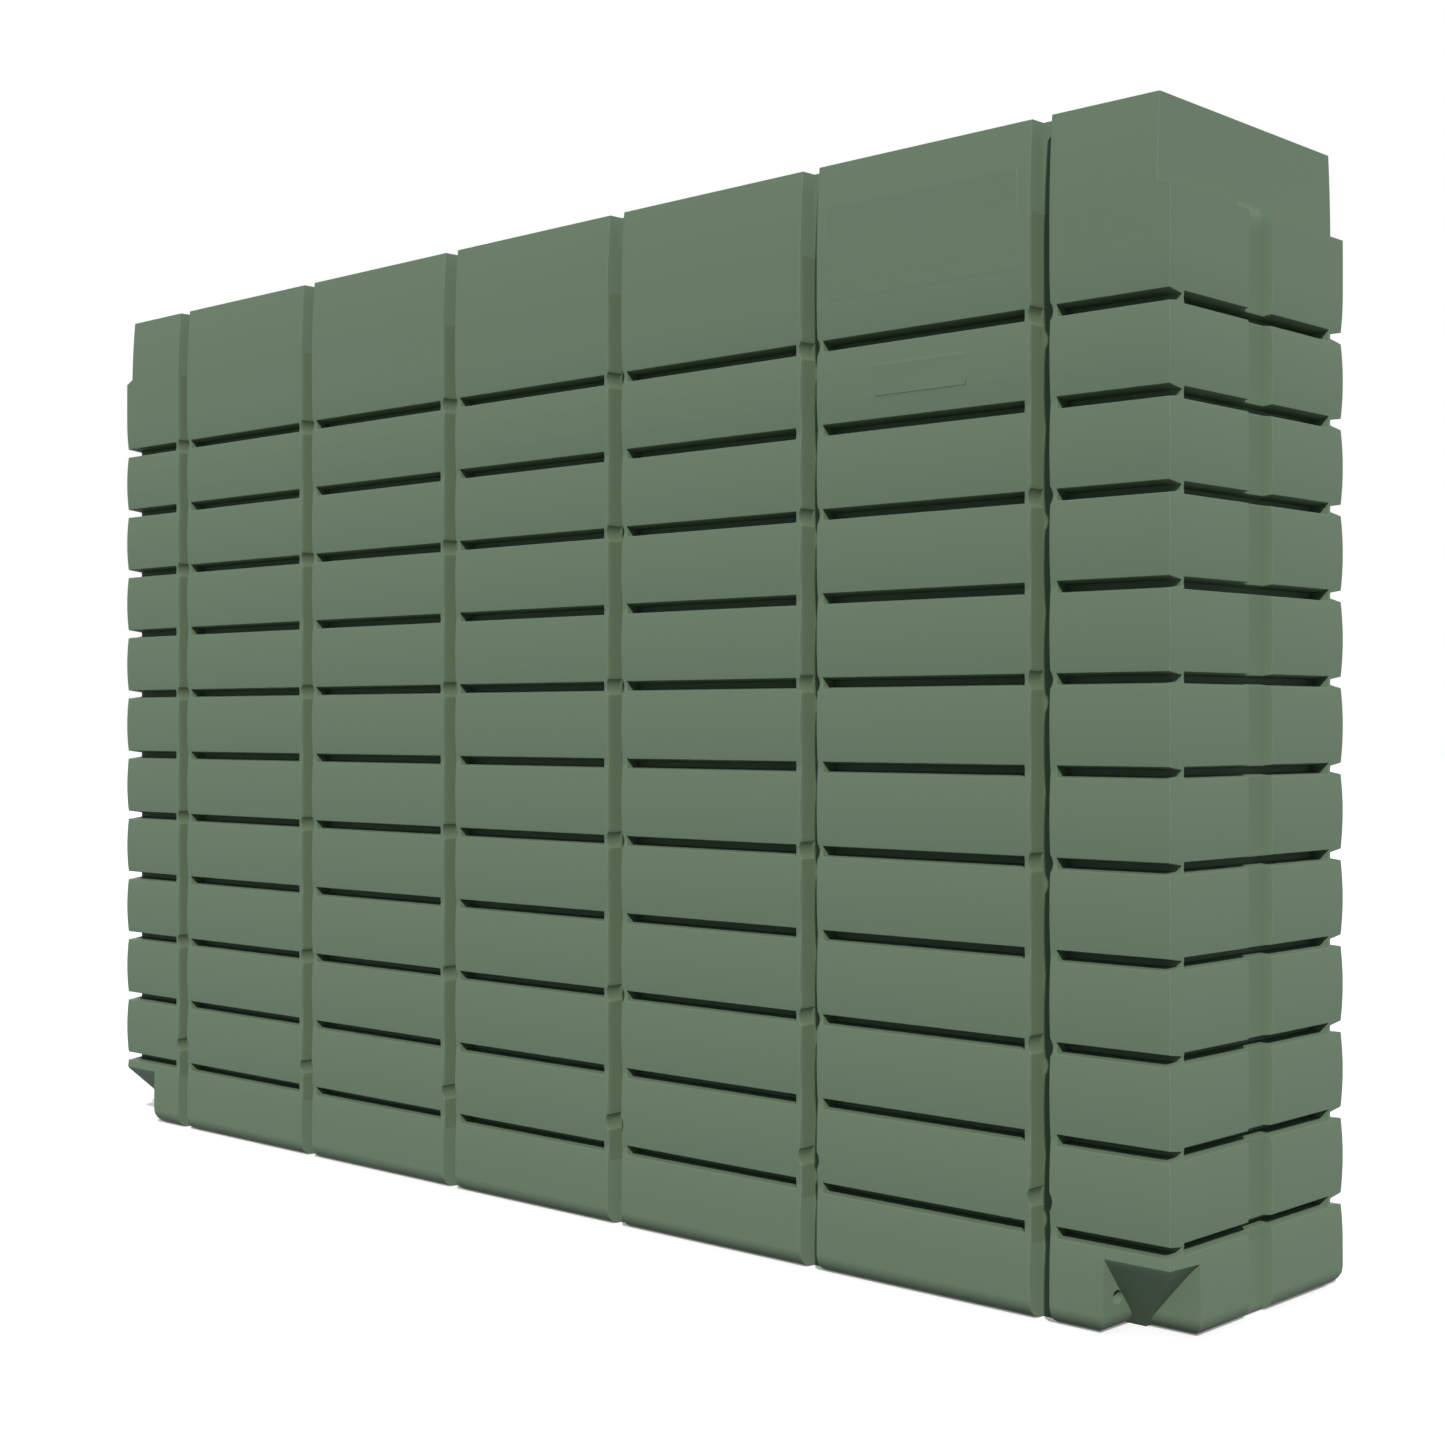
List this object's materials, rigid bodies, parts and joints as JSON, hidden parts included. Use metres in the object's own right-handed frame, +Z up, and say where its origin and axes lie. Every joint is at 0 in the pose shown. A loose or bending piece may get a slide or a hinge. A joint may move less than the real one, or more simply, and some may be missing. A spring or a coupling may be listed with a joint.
{
  "type": "slimline water tank",
  "caption": "Tall, narrow moulded rainwater tank with slotted rows and upright grooves, a top inlet strainer, an end overflow and low corner outlets.",
  "frame": {"origin": "centre of the flat base, on the floor", "axes": "+X along the tank towards the end whose corner notch shows an open outlet, +Z up, -Y out of the front face"},
  "size_m": [2.994, 0.564, 1.978],
  "materials": {
    "tank_body": "satin, fine moulded grain",
    "inlet_strainer": "satin black",
    "strainer_mesh": "woven wire",
    "overflow_sleeve": "satin black",
    "overflow_mesh": "woven wire",
    "outlet_plug": "satin black"
  },
  "bodies": {
    "root": {"tank_body": "tank_body", "inlet_strainer": "inlet_strainer", "strainer_mesh": "strainer_mesh", "overflow_sleeve": "overflow_sleeve", "overflow_mesh": "overflow_mesh", "outlet_plug": "outlet_plug"}
  },
  "joints": []
}
